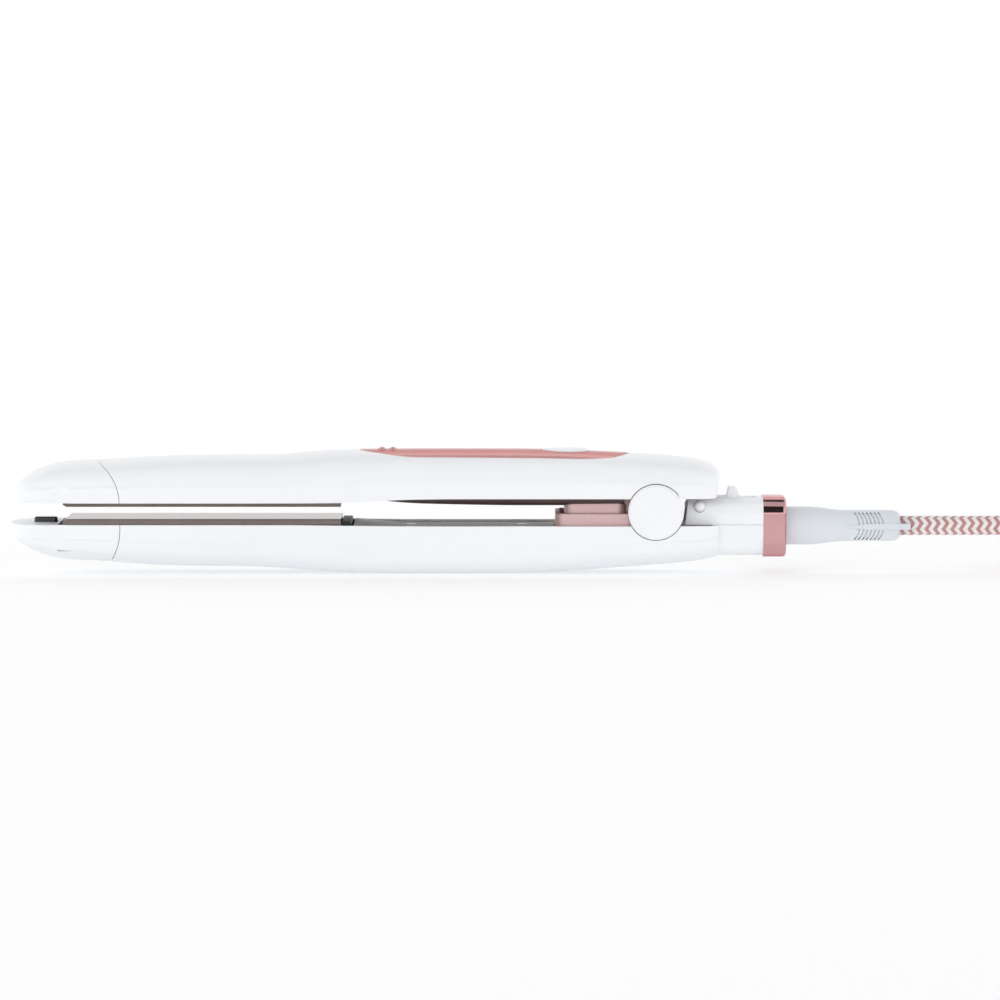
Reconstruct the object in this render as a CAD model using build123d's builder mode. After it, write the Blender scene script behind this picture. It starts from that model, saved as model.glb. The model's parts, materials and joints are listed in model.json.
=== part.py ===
from build123d import *

import os
from math import copysign, cos, pi, radians, sin, sqrt

# A slim hair crimper: two hinged arms with sprung, heated plates, a sliding lock, a swivel boot and
# a braided cord. Millimetres. The origin is on the table under the middle of the tool, +X runs from
# the tip to the cord, +Z is up and the arms mirror about the plane Y = 0.

# Driving dimensions
TIP_X = -161.5
CAP_SEAM_X = -121.9
PLATE_FRONT_X = -142.2
PLATE_REAR_X = -42.8
HINGE_X = 69.7
HINGE_Z = 22.7
TAIL_X = 91.4
NECK_END_X = 108.4
COLLAR_END_X = 116.6
BOOT_END_X = 157.9
FIN_END_X = 161.5
CORD_Z = 16.6
CORD_DIAMETER = 6.9

LOWER_HEAD_RIM_Z = 18.1
LOWER_GRIP_RIM_Z = 17.6
UPPER_HEAD_RIM_Z = 25.9
UPPER_GRIP_RIM_Z = 27.4
HEAD_HALF_WIDTH = 17.5
WALL = 2.0
SEAM = 0.22
FIT = 0.03
RUNNING = 0.05

CROWN_POWER = 3.0
NECK_POWER = 4.0
ARCH_STEPS = 12
CUT_HALF_WIDTH = 30.0

# Rounded tip: distances behind the tip, and how far back the ellipses reach full size
TIP_STEPS = (0.0, 1.0, 3.2, 7.0, 12.5, 20.0)
TIP_NOSE = 0.2
TIP_PLAN_LENGTH = 12.0
TIP_SIDE_LENGTH = 25.0

# Arm stations behind the tip: X at the rim, half width, rim height, depth from rim to crown, lean
UPPER_STATIONS = (
    (-132.0, 17.5, 25.9, 14.4, 0),
    (-114.0, 17.5, 25.9, 15.4, 0),
    (-94.0, 17.5, 25.9, 16.1, 0),
    (-76.0, 17.4, 25.9, 16.2, 0),
    (-64.0, 17.3, 25.9, 16.5, 0),
    (-52.0, 17.2, 25.95, 17.5, 0),
    (-41.0, 17.1, 26.1, 17.9, 0),
    (-26.0, 17.0, 26.9, 17.25, 0),
    (-10.0, 17.0, 27.35, 16.85, 0),
    (12.0, 17.0, 27.4, 16.8, 0),
    (32.0, 17.0, 27.4, 16.6, 0),
    (48.0, 17.1, 27.4, 16.0, 0),
    (62.0, 17.1, 27.4, 15.3, 0),
    (74.0, 16.9, 27.4, 14.5, 2),
    (81.0, 16.5, 27.4, 13.7, 4),
    (85.6, 16.0, 27.4, 12.8, 7),
    (88.3, 15.3, 27.4, 11.6, 9),
    (90.2, 14.2, 27.4, 10.1, 11),
    (91.1, 13.0, 27.4, 8.7, 12),
    (TAIL_X, 11.8, 27.4, 7.4, 12),
)
LOWER_STATIONS = (
    (-132.0, 17.5, 18.1, 13.7, 0),
    (-114.0, 17.5, 18.1, 15.0, 0),
    (-94.0, 17.5, 18.1, 15.7, 0),
    (-76.0, 17.4, 18.1, 15.9, 0),
    (-64.0, 17.3, 18.1, 16.5, 0),
    (-52.0, 17.2, 18.0, 17.2, 0),
    (-38.0, 17.1, 17.8, 17.8, 0),
    (-20.0, 17.0, 17.6, 17.9, 0),
    (0.0, 17.0, 17.6, 17.9, 0),
    (20.0, 17.0, 17.6, 17.75, 0),
    (36.0, 17.0, 17.6, 17.1, 0),
    (50.0, 17.1, 17.6, 16.2, 0),
    (62.0, 17.1, 17.6, 15.3, 0),
    (74.0, 16.9, 17.6, 14.4, 0),
    (81.0, 16.6, 17.6, 13.8, 0),
    (86.5, 16.0, 17.6, 13.0, 0),
    (90.0, 14.9, 17.6, 12.2, 0),
    (91.8, 13.4, 17.6, 11.5, 0),
    (92.4, 12.2, 17.6, 10.6, 0),
)

# Neck, collar and boot
NECK_HALF_WIDTH = 10.6
NECK_RISE = 9.5
NECK_DROP = 11.4
NECK_SPLIT = 0.2
NECK_WALL = 1.6
NECK_START_X = 80.3
COLLAR_HALF_SIZE = 10.8
COLLAR_CORNER_RADIUS = 6.0
BOOT_BORE_RADIUS = 7.05
BOOT_RADIUS = 6.85
BOOT_SLIM_RADIUS = 5.6
BOOT_TIP_RADIUS = 3.9

# Plates
PLATE_HALF_WIDTH = 14.0
LOWER_PLATE_TOP_Z = 20.05
UPPER_PLATE_FACE_Z = 24.4
PLATE_THICKNESS = 3.4
HEATER_THICKNESS = 2.2
SPREADER_THICKNESS = 0.8
CARRIER_HALF_WIDTH = 14.8
CARRIER_DEPTH = 8.9
CARRIER_WALL = 0.6

# Hinge
HUB_RADIUS = 9.87
HUB_FACE_RADIUS = 9.3
HUB_INNER_Y = 14.5
HUB_FACE_Y = 18.2
NOTCH_RADIUS = 10.2
NOTCH_INNER_Y = 14.1
PIN_RADIUS = 2.0
BUSH_RADIUS = 3.2
BARREL_RADIUS = 5.2
BARREL_HALF_LENGTH = 9.6
EAR_INNER_Y = 9.9
EAR_OUTER_Y = 13.9

# Lock
SLIDER_FRONT_X = 91.5
SLIDER_REAR_X = 101.3
LOCK_PIN_X = 85.5
LOCK_PIN_Z = 24.2
LOCK_PIN_RADIUS = 1.2
LOCK_HEAD_RADIUS = 2.0
LOCK_TRAVEL = 4.7

# Buttons
POWER_X = 37.4
POWER_LENGTH = 16.5
POWER_WIDTH = 13.0
KEY_XS = {"temperature_down_button": -28.4, "temperature_up_button": -24.5}
KEY_LENGTH = 2.3
KEY_WIDTH = 6.5
LED_X = -33.0
BOARD_Z = 35.8
BOARD_THICKNESS = 1.6

TRIM_FRONT_X = -36.0
TRIM_REAR_X = 60.0
TRIM_THICKNESS = 1.2

# Fasteners
PANEL_SCREW_XS = (-18.0, 22.0)
PANEL_SCREW_Y = 6.0
BOARD_SCREW_XS = (-14.0, 18.0)
SCREW_RADIUS = 1.0
SCREW_HEAD_RADIUS = 1.9
SCREW_HEAD_HEIGHT = 1.2
LOWER_PANEL_TOP_Z = 16.8
LOWER_PANEL_THICKNESS = 1.6
PANEL_HALF_WIDTH = 14.8

# Stored cord: a straight lead out of the boot, then a tied hank on the table with the plug inside it
LEAD_POINTS = (
    (BOOT_END_X, 0, CORD_Z),
    (197.0, 0, CORD_Z),
    (217.0, -3.6, 17.3),
    (236.0, -12.0, 17.4),
    (254.0, -21.5, 17.3),
    (271.0, -27.4, 17.05),
    (288.0, -27.6, 17.05),
)
HANK_START_X = 234.0
HANK_END_X = 342.0
HANK_FOLD_RADIUS = 3 * CORD_DIAMETER
HANK_LAYER = 6.8
TAIL_POINTS = (
    (234.0, -20.7, 10.25),
    (248.0, -20.0, 9.8),
    (263.0, -14.5, 8.6),
    (278.0, -6.5, 7.6),
    (293.0, -1.0, 6.9),
    (306.0, 0, 6.8),
)
TIE_X = 300.0
TIE_WIDTH = 8.0
TIE_THICKNESS = 0.8

PLUG_RELIEF_LENGTH = 11.0
PLUG_BODY_LENGTH = 22.0
BLADE_LENGTH = 16.0
BLADE_SPACING = 12.7

NEAR_AND_FAR = {"near": -1, "far": 1}


def save(name, part):
    """Label a finished piece and write it as its own STEP file."""
    part.label = name
    export_step(part, f"parts/{name}.step")


def ellipse_share(back, length):
    """The share of its full size that an elliptical end has reached this far behind its tip."""
    left = 1 - min(back, length) / length
    return sqrt(1 - left * left)


def tip_stations(rim_z, full_depth):
    """Stations of a rounded tip: a short ellipse in plan and a longer one seen from the side."""
    stations = []
    for step in TIP_STEPS:
        back = step + TIP_NOSE
        width = HEAD_HALF_WIDTH * ellipse_share(back, TIP_PLAN_LENGTH)
        depth = full_depth * ellipse_share(back, TIP_SIDE_LENGTH)
        stations.append((TIP_X + step, width, rim_z, depth, 0))
    return tuple(stations)


def arch_points(half_width, rise, power=CROWN_POWER):
    """Half a superellipse, from one foot over the crown to the other; a negative rise hangs down."""
    points = []
    for step in range(ARCH_STEPS + 1):
        angle = pi * step / ARCH_STEPS
        across = half_width * copysign(abs(cos(angle)) ** (2 / power), cos(angle))
        points.append((across, rise * abs(sin(angle)) ** (2 / power)))
    return points


def arm_form(stations, side, inset=0.0, skirt=0.0):
    """The solid between an arm's rim and its crowned skin, shrunk by inset and extended past the rim."""
    with BuildPart() as form:
        for x, half_width, rim_z, depth, lean in stations:
            tilt = radians(lean)
            along = (cos(tilt), 0, -sin(tilt))
            with BuildSketch(Plane(origin=(x, 0, rim_z), x_dir=(0, 1, 0), z_dir=along)):
                with BuildLine():
                    points = arch_points(half_width - inset, side * (depth - inset))
                    arch = Spline(*points, tangents=[(0, side), (0, -side)])
                    if skirt:
                        foot = -side * skirt
                        width = half_width - inset
                        Polyline(arch @ 1, (-width, foot), (width, foot), arch @ 0)
                    else:
                        Line(arch @ 1, arch @ 0)
                make_face()
        loft()
    return form.part


def side_cut(points_and_arc, y_start=-CUT_HALF_WIDTH, y_end=CUT_HALF_WIDTH):
    """A block with the given outline seen from the side: corner points, then one arc back to them."""
    corners, arc = points_and_arc
    with BuildPart() as block:
        with BuildSketch(Plane.XZ.offset(-y_end)):
            with BuildLine():
                Polyline(arc[-1], *corners, arc[0])
                ThreePointArc(*arc)
            make_face()
        extrude(amount=y_end - y_start)
    return block.part


def cap_region(side, shift=0.0):
    """Everything in front of the curved seam between a tip cap and its housing."""
    front = TIP_X - 10
    if side > 0:
        arc = ((-132.9 + shift, 41.5), (-124.6 + shift, 35.0), (CAP_SEAM_X + shift, 25.0))
        corners = ((CAP_SEAM_X + shift, 10.0), (front, 10.0), (front, 50.0), (-132.9 + shift, 50.0))
    else:
        arc = ((-127.5 + shift, 2.0), (-122.7 + shift, 10.0), (CAP_SEAM_X + shift, 20.0))
        corners = ((CAP_SEAM_X + shift, 30.0), (front, 30.0), (front, -10.0), (-127.5 + shift, -10.0))
    return side_cut((corners, arc))


def hub_notches():
    """The round clearances for both hinge caps, as one cutting tool."""
    with BuildPart() as notches:
        for side in NEAR_AND_FAR.values():
            with BuildSketch(Plane.XZ.offset(-side * NOTCH_INNER_Y)):
                with Locations((HINGE_X, HINGE_Z)):
                    Circle(NOTCH_RADIUS)
            extrude(amount=-side * 8)
    return notches.part


def thumb_scoops(center_z):
    """Two shallow oval scoops in the sides of a tip cap, as one cutting tool."""
    radius, half_height, depth, scoop_x, reach = 11.1, 20.5, 1.0, -142.6, 8.6
    with BuildPart() as scoops:
        for side in NEAR_AND_FAR.values():
            middle_y = side * (HEAD_HALF_WIDTH + radius - depth)
            with BuildSketch(Plane(origin=(scoop_x, middle_y, center_z), x_dir=(1, 0, 0), z_dir=(0, -1, 0))):
                with BuildLine():
                    rim = EllipticalCenterArc((0, 0), radius, half_height, start_angle=-90, arc_size=180)
                    Line(rim @ 1, rim @ 0)
                make_face()
            revolve(axis=Axis((scoop_x, middle_y, center_z), (0, 0, 1)))
        z_range = (center_z - reach, center_z + reach)
        add(block((scoop_x - 12, scoop_x + 12), (-20, 20), z_range), mode=Mode.INTERSECT)
    return scoops.part


def oval_prism(center_x, length, width, low_z, high_z):
    """An upright oval column, longer along X when length is the larger."""
    with BuildPart() as column:
        with BuildSketch(Plane.XY.offset(low_z)):
            with Locations((center_x, 0)):
                if length == width:
                    Circle(length / 2)
                else:
                    Ellipse(length / 2, width / 2)
        extrude(amount=high_z - low_z)
    return column.part


def key_prism(center_x, clearance, low_z, high_z):
    """An upright stadium-shaped column that lies across the tool."""
    with BuildPart() as column:
        with BuildSketch(Plane.XY.offset(low_z)):
            with Locations((center_x, 0)):
                SlotOverall(KEY_WIDTH + 2 * clearance, KEY_LENGTH + 2 * clearance, rotation=90)
        extrude(amount=high_z - low_z)
    return column.part


def trim_outline(clearance):
    """The leaf-shaped trim in plan, as an upright prism."""
    side_points = ((-22.0, 10.9), (-10.0, 11.7), (14.0, 12.0), (34.0, 12.0), (47.0, 11.6))
    front_x, front_y = -29.5, 8.2 + clearance
    rear_x, rear_y = 55.0, 10.0 + clearance
    with BuildPart() as prism:
        with BuildSketch(Plane.XY.offset(34)):
            with BuildLine():
                ThreePointArc((front_x, -front_y), (TRIM_FRONT_X - clearance, 0), (front_x, front_y))
                ThreePointArc((rear_x, rear_y), (TRIM_REAR_X + clearance, 0), (rear_x, -rear_y))
                for side in NEAR_AND_FAR.values():
                    along = [(x, side * (y + clearance)) for x, y in side_points]
                    Spline((front_x, side * front_y), *along, (rear_x, side * rear_y))
            make_face()
        extrude(amount=16)
    return prism.part


def neck_half(rise, wall, start_x, end_x, skirt=0.0):
    """Half of the squarish neck, above the split line for a positive rise and below it for a negative."""
    half_width = NECK_HALF_WIDTH - wall
    with BuildPart() as half:
        with BuildSketch(Plane.YZ.offset(start_x)):
            with BuildLine():
                height = rise - copysign(wall, rise)
                points = [
                    (y, z + LOWER_GRIP_RIM_Z) for y, z in arch_points(half_width, height, NECK_POWER)
                ]
                up = copysign(1, rise)
                arch = Spline(*points, tangents=[(0, up), (0, -up)])
                foot = LOWER_GRIP_RIM_Z - up * skirt
                if skirt:
                    Polyline(arch @ 1, (-half_width, foot), (half_width, foot), arch @ 0)
                else:
                    Line(arch @ 1, arch @ 0)
            make_face()
        extrude(amount=end_x - start_x)
    return half.part


UPPER_ALL = tip_stations(UPPER_HEAD_RIM_Z, 14.2) + UPPER_STATIONS
LOWER_ALL = tip_stations(LOWER_HEAD_RIM_Z, 13.5) + LOWER_STATIONS
UPPER_HOLLOW = UPPER_STATIONS[:-2]
LOWER_HOLLOW = LOWER_STATIONS[:-2]
UPPER_FORM = arm_form(UPPER_ALL, 1)
LOWER_FORM = arm_form(LOWER_ALL, -1)
UPPER_CAVITY = arm_form(UPPER_HOLLOW, 1, WALL, 3)
LOWER_CAVITY = arm_form(LOWER_HOLLOW, -1, WALL, 3)
UPPER_CORE = arm_form(UPPER_STATIONS[5:-4], 1, TRIM_THICKNESS)
TRIM_SKIN = arm_form(UPPER_STATIONS[5:-4], 1, -0.05)
HUB_NOTCHES = hub_notches()


def y_cylinder(x, z, radius, y_start, y_end):
    """A round bar along Y."""
    with BuildPart() as bar:
        with BuildSketch(Plane.XZ.offset(-y_end)):
            with Locations((x, z)):
                Circle(radius)
        extrude(amount=y_end - y_start)
    return bar.part


def x_cylinder(x_start, x_end, radius, z=CORD_Z, y=0.0):
    """A round bar along X."""
    with BuildPart() as bar:
        with BuildSketch(Plane.YZ.offset(x_start)):
            with Locations((y, z)):
                Circle(radius)
        extrude(amount=x_end - x_start)
    return bar.part


def z_cylinder(x, y, radius, z_start, z_end):
    """A round bar along Z."""
    with BuildPart() as bar:
        with BuildSketch(Plane.XY.offset(z_start)):
            with Locations((x, y)):
                Circle(radius)
        extrude(amount=z_end - z_start)
    return bar.part


def block(x_range, y_range, z_range):
    """A plain rectangular block between two corners."""
    with BuildPart() as box:
        with BuildSketch(Plane.XY.offset(z_range[0])):
            with Locations(((x_range[0] + x_range[1]) / 2, (y_range[0] + y_range[1]) / 2)):
                Rectangle(x_range[1] - x_range[0], y_range[1] - y_range[0])
        extrude(amount=z_range[1] - z_range[0])
    return box.part


def screw_places():
    """Where the inner panels' screws stand in plan."""
    return [(x, y) for x in PANEL_SCREW_XS for y in (-PANEL_SCREW_Y, PANEL_SCREW_Y)]


def upper_housing():
    pocket = trim_outline(SEAM) - UPPER_CORE
    with BuildPart() as housing:
        add(UPPER_FORM)
        add(UPPER_CAVITY, mode=Mode.SUBTRACT)
        add(cap_region(1, SEAM), mode=Mode.SUBTRACT)
        add(HUB_NOTCHES, mode=Mode.SUBTRACT)
        add(block((86.0, 98.0), (-11.7, 11.7), (18.0, 33.9)), mode=Mode.SUBTRACT)
        for x in BOARD_SCREW_XS:
            add(z_cylinder(x, 0, 2.4, BOARD_Z + BOARD_THICKNESS, 42.7))
        for x, y in screw_places():
            add(z_cylinder(x, y, 2.2, 29.0, 42.3))
        add(pocket, mode=Mode.SUBTRACT)
        for x in BOARD_SCREW_XS:
            add(z_cylinder(x, 0, SCREW_RADIUS + FIT, 37.0, 41.0), mode=Mode.SUBTRACT)
        for x, y in screw_places():
            add(z_cylinder(x, y, SCREW_RADIUS + FIT, 28.0, 33.2), mode=Mode.SUBTRACT)
        add(oval_prism(POWER_X, POWER_LENGTH + 0.6, POWER_WIDTH + 0.6, 36, 50), mode=Mode.SUBTRACT)
        for x in KEY_XS.values():
            add(key_prism(x, 0.3, 36, 50), mode=Mode.SUBTRACT)
        add(oval_prism(LED_X, 1.7, 1.7, 36, 50), mode=Mode.SUBTRACT)
    save("upper_housing", housing.part)


def lower_housing():
    neck = neck_half(-NECK_DROP, 0.0, 82.0, NECK_END_X)
    neck_cavity = neck_half(-NECK_DROP, NECK_WALL, 82.0, NECK_END_X + 1, 3)
    with BuildPart() as housing:
        add(LOWER_FORM)
        add(neck)
        add(LOWER_CAVITY, mode=Mode.SUBTRACT)
        add(neck_cavity, mode=Mode.SUBTRACT)
        add(cap_region(-1, SEAM), mode=Mode.SUBTRACT)
        add(HUB_NOTCHES, mode=Mode.SUBTRACT)
        for x, y in screw_places():
            add(z_cylinder(x, y, 2.2, 1.0, 14.8))
        for x, y in screw_places():
            add(z_cylinder(x, y, SCREW_RADIUS + FIT, 10.2, 16.0), mode=Mode.SUBTRACT)
        add(block((-200, 200), (-40, 40), (-10, 0)), mode=Mode.SUBTRACT)
    save("lower_housing", housing.part)


def tip_cap(name, side, form, rim_z):
    """A hollow tip cap, open behind the plate, with a thumb scoop in each side."""
    low_z, high_z = (rim_z - 1, rim_z + 9.4) if side > 0 else (rim_z - 9.4, rim_z + 1)
    with BuildPart() as cap:
        add(form)
        add(cap_region(side), mode=Mode.INTERSECT)
        add(block((-144.0, -110.0), (-15.3, 15.3), (low_z, high_z)), mode=Mode.SUBTRACT)
        add(thumb_scoops(rim_z), mode=Mode.SUBTRACT)
        if side < 0:
            add(block((-153.5, -145.1), (-2.7, 2.7), (rim_z - 1.5, rim_z + 1)), mode=Mode.SUBTRACT)
    save(name, cap.part)


def tip_bumper():
    with BuildPart() as bumper:
        with BuildSketch(Plane.XY.offset(LOWER_HEAD_RIM_Z - 1.5)):
            with Locations((-149.3, 0)):
                RectangleRounded(8.3, 5.3, 1.2)
        extrude(amount=3.4)
        fillet(bumper.faces().sort_by(Axis.Z)[-1].edges(), 0.7)
    save("tip_bumper", bumper.part)


def plate(name, face_z, body):
    """A heated plate with a flat face: body is the direction from that face into its arm."""
    back_z = face_z + body * PLATE_THICKNESS
    bevel = 0.8
    edge_z = face_z + body * bevel
    with BuildPart() as slab:
        with BuildSketch(Plane.YZ.offset(PLATE_FRONT_X)):
            with BuildLine():
                Polyline(
                    (PLATE_HALF_WIDTH - 0.4, face_z),
                    (-PLATE_HALF_WIDTH + 0.4, face_z),
                    (-PLATE_HALF_WIDTH, edge_z),
                    (-PLATE_HALF_WIDTH, back_z),
                    (PLATE_HALF_WIDTH, back_z),
                    (PLATE_HALF_WIDTH, edge_z),
                    close=True,
                )
            make_face()
        extrude(amount=PLATE_REAR_X - PLATE_FRONT_X)
        ramp_x = PLATE_FRONT_X + 1.2
        with BuildSketch(Plane.XZ.offset(-CUT_HALF_WIDTH)):
            with BuildLine():
                Polyline(
                    (PLATE_FRONT_X - 1, face_z - body * 2),
                    (ramp_x, face_z - body * 2),
                    (ramp_x, face_z),
                    (PLATE_FRONT_X, face_z + body * bevel),
                    (PLATE_FRONT_X - 1, face_z + body * bevel),
                    close=True,
                )
            make_face()
        extrude(amount=2 * CUT_HALF_WIDTH, mode=Mode.SUBTRACT)
    save(name, slab.part)
    return back_z


def plate_stack(arm, body, back_z):
    """The heater and the heat spreader behind a plate, and the float springs behind them."""
    heater_z = sorted((back_z, back_z + body * HEATER_THICKNESS))
    with BuildPart() as heater:
        add(block((-132.0, -53.0), (-10.0, 10.0), heater_z))
        fillet(heater.edges().filter_by(Axis.Z), 1.0)
    save(f"{arm}_heater", heater.part)
    top = back_z + body * HEATER_THICKNESS
    spreader_z = sorted((top, top + body * SPREADER_THICKNESS))
    with BuildPart() as spreader:
        add(block((-138.0, -47.0), (-11.5, 11.5), spreader_z))
        fillet(spreader.edges().filter_by(Axis.Z), 1.5)
    save(f"{arm}_heat_spreader", spreader.part)
    return top + body * SPREADER_THICKNESS


def float_springs(arm, low_z, high_z):
    """Two small coil springs between the spreader and the carrier's roof."""
    wire = 0.25
    with BuildPart() as springs:
        for x in (-128.0, -57.0):
            turns = 3
            height = high_z - low_z - 2 * wire
            with BuildLine(Plane(origin=(x, 0, low_z + wire))):
                coil = Helix(pitch=height / turns, height=height, radius=2.4)
            with BuildSketch(Plane(origin=coil @ 0, z_dir=coil % 0)):
                Circle(wire)
            sweep(path=coil, is_frenet=True)
    save(f"{arm}_float_springs", springs.part)


def plate_carrier(arm, body, rim_z):
    """The black insulating tray that a plate floats in, with an end stop behind the lower plate."""
    side = -body
    low_x, high_x = -143.2, -41.8
    outer_z = sorted((rim_z, rim_z + body * CARRIER_DEPTH))
    roof_z = rim_z + body * (CARRIER_DEPTH - 1.2)
    inner_z = sorted((rim_z - body, roof_z))
    with BuildPart() as carrier:
        add(block((low_x, high_x), (-CARRIER_HALF_WIDTH, CARRIER_HALF_WIDTH), outer_z))
        crown = carrier.faces().sort_by(Axis.Z)[-1 if body > 0 else 0]
        chamfer(crown.edges().filter_by(Axis.X), 3.2)
        inner_y = CARRIER_HALF_WIDTH - CARRIER_WALL
        add(block((low_x + 0.7, high_x - 0.7), (-11.6, 11.6), inner_z), mode=Mode.SUBTRACT)
        shelf_z = sorted((rim_z - body, rim_z + body * 4.2))
        add(block((low_x + 0.7, high_x - 0.7), (-inner_y, inner_y), shelf_z), mode=Mode.SUBTRACT)
        if side > 0:
            with BuildSketch(Plane.XZ.offset(-PLATE_HALF_WIDTH)):
                with BuildLine():
                    Polyline((-42.5, 15.4), (-42.5, 19.1), (-39.4, 19.1), (-38.4, 15.4), close=True)
                make_face()
            extrude(amount=2 * PLATE_HALF_WIDTH)
    save(f"{arm}_plate_carrier", carrier.part)
    return roof_z


def lower_inner_panel():
    """The cover of the lower grip: a ramp behind the plate, then level and a little below the rim."""
    with BuildPart() as panel:
        with BuildSketch(Plane.XZ.offset(-PANEL_HALF_WIDTH)):
            with BuildLine():
                Polyline(
                    (-38.2, 16.4),
                    (-38.2, 18.2),
                    (-30.0, 17.4),
                    (-22.0, LOWER_PANEL_TOP_Z),
                    (58.5, LOWER_PANEL_TOP_Z),
                    (58.5, LOWER_PANEL_TOP_Z - LOWER_PANEL_THICKNESS),
                    (-22.0, LOWER_PANEL_TOP_Z - LOWER_PANEL_THICKNESS),
                    close=True,
                )
            make_face()
        extrude(amount=2 * PANEL_HALF_WIDTH)
        for x, y in screw_places():
            head_z = LOWER_PANEL_TOP_Z - SCREW_HEAD_HEIGHT
            add(z_cylinder(x, y, SCREW_HEAD_RADIUS + FIT, head_z, 20.0), mode=Mode.SUBTRACT)
            add(z_cylinder(x, y, SCREW_RADIUS + FIT, 14.0, 20.0), mode=Mode.SUBTRACT)
        add(block((33.8, 70.0), (-14.3, 14.3), (10.0, 30.0)), mode=Mode.SUBTRACT)
    save("lower_inner_panel", panel.part)


def panel_form():
    """The bulging skin of the upper grip's cover."""
    stations = (
        (-34.0, 9.0, 0.4),
        (-28.0, 13.0, 1.0),
        (-18.0, 14.5, 2.0),
        (-4.0, PANEL_HALF_WIDTH, 2.5),
        (10.0, PANEL_HALF_WIDTH, 2.8),
        (24.0, PANEL_HALF_WIDTH, 2.9),
        (38.0, PANEL_HALF_WIDTH, 2.9),
        (50.0, PANEL_HALF_WIDTH, 2.8),
        (60.0, PANEL_HALF_WIDTH, 2.7),
    )
    with BuildPart() as form:
        for x, half_width, depth in stations:
            with BuildSketch(Plane(origin=(x, 0, 27.2), x_dir=(0, 1, 0), z_dir=(1, 0, 0))):
                with BuildLine():
                    hang = arch_points(half_width, -depth, 2.6)
                    arch = Spline(*hang, tangents=[(0, -1), (0, 1)], tangent_scalars=[0.4, 0.4])
                    Polyline(arch @ 1, (-half_width, 1.3), (half_width, 1.3), arch @ 0)
                make_face()
        loft()
    return form.part


def upper_inner_panel(form):
    with BuildPart() as panel:
        add(form)
        add(block((-40, 58.5), (-PANEL_HALF_WIDTH, PANEL_HALF_WIDTH), (20, 32)), mode=Mode.INTERSECT)
        for x, y in screw_places():
            add(z_cylinder(x, y, SCREW_HEAD_RADIUS + FIT, 20.0, 26.6), mode=Mode.SUBTRACT)
            add(z_cylinder(x, y, SCREW_RADIUS + FIT, 20.0, 30.0), mode=Mode.SUBTRACT)
        add(z_cylinder(48.0, 0, 4.2, 20.0, 26.55), mode=Mode.SUBTRACT)
        add(block((57.5, 70.0), (-9.9, 9.9), (20.0, 30.0)), mode=Mode.SUBTRACT)
    save("upper_inner_panel", panel.part)


def screws(name, places, head_low, head_high, tip_z):
    """A set of equal screws: a head between two heights and a shank to tip_z."""
    with BuildPart() as fasteners:
        for x, y in places:
            add(z_cylinder(x, y, SCREW_HEAD_RADIUS, head_low, head_high))
            shank = sorted((tip_z, head_low if tip_z < head_low else head_high))
            add(z_cylinder(x, y, SCREW_RADIUS, *shank))
    save(name, fasteners.part)


def trim_panel():
    with BuildPart() as trim:
        add(trim_outline(0.0))
        add(TRIM_SKIN, mode=Mode.INTERSECT)
        add(UPPER_CORE, mode=Mode.SUBTRACT)
        add(oval_prism(POWER_X, POWER_LENGTH + 0.5, POWER_WIDTH + 0.5, 36, 50), mode=Mode.SUBTRACT)
        for x in KEY_XS.values():
            add(key_prism(x, 0.25, 36, 50), mode=Mode.SUBTRACT)
        add(oval_prism(LED_X, 1.6, 1.6, 36, 50), mode=Mode.SUBTRACT)
    save("trim_panel", trim.part)


def power_button():
    with BuildPart() as button:
        add(oval_prism(POWER_X, POWER_LENGTH, POWER_WIDTH, 41.3, 44.5))
        top = button.faces().sort_by(Axis.Z)[-1]
        fillet(top.edges(), 0.9)
        add(z_cylinder(POWER_X, 0, 2.5, 39.4, 41.5))
    save("power_button", button.part)


def temperature_keys():
    for name, x in KEY_XS.items():
        with BuildPart() as key:
            add(key_prism(x, 0.0, 39.4, 44.9))
            top = key.faces().sort_by(Axis.Z)[-1]
            fillet(top.edges(), 0.9)
        save(name, key.part)


def led_lens():
    with BuildPart() as lens:
        add(z_cylinder(LED_X, 0, 0.75, 38.0, 44.2))
    save("indicator_lens", lens.part)


def circuit_board():
    with BuildPart() as board:
        add(block((-38.0, 50.0), (-9.0, 9.0), (BOARD_Z, BOARD_Z + BOARD_THICKNESS)))
        fillet(board.edges().filter_by(Axis.Z), 1.0)
        for x in BOARD_SCREW_XS:
            add(z_cylinder(x, 0, SCREW_RADIUS + FIT, 34.0, 40.0), mode=Mode.SUBTRACT)
        for x, y in screw_places():
            add(z_cylinder(x, y, 2.5, 34.0, 40.0), mode=Mode.SUBTRACT)
    save("circuit_board", board.part)


def board_parts():
    top = BOARD_Z + BOARD_THICKNESS
    with BuildPart() as switch:
        add(block((POWER_X - 3, POWER_X + 3), (-3, 3), (top, top + 0.8)))
        add(z_cylinder(POWER_X, 0, 1.6, top + 0.8, top + 1.1))
    save("power_switch", switch.part)
    with BuildPart() as switches:
        for x in KEY_XS.values():
            add(block((x - 1.5, x + 1.5), (-2.5, 2.5), (top, top + 0.8)))
            add(z_cylinder(x, 0, 0.9, top + 0.8, top + 1.2))
    save("temperature_switches", switches.part)
    with BuildPart() as chip:
        add(block((2.0, 10.0), (-3.0, 3.0), (BOARD_Z - 1.4, BOARD_Z)))
        chamfer(chip.faces().sort_by(Axis.Z)[0].edges(), 0.3)
    save("control_chip", chip.part)
    with BuildPart() as triac:
        add(block((26.0, 36.0), (-4.5, 4.5), (BOARD_Z - 3.2, BOARD_Z)))
        fillet(triac.edges().filter_by(Axis.Z), 0.6)
    save("power_triac", triac.part)


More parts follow.
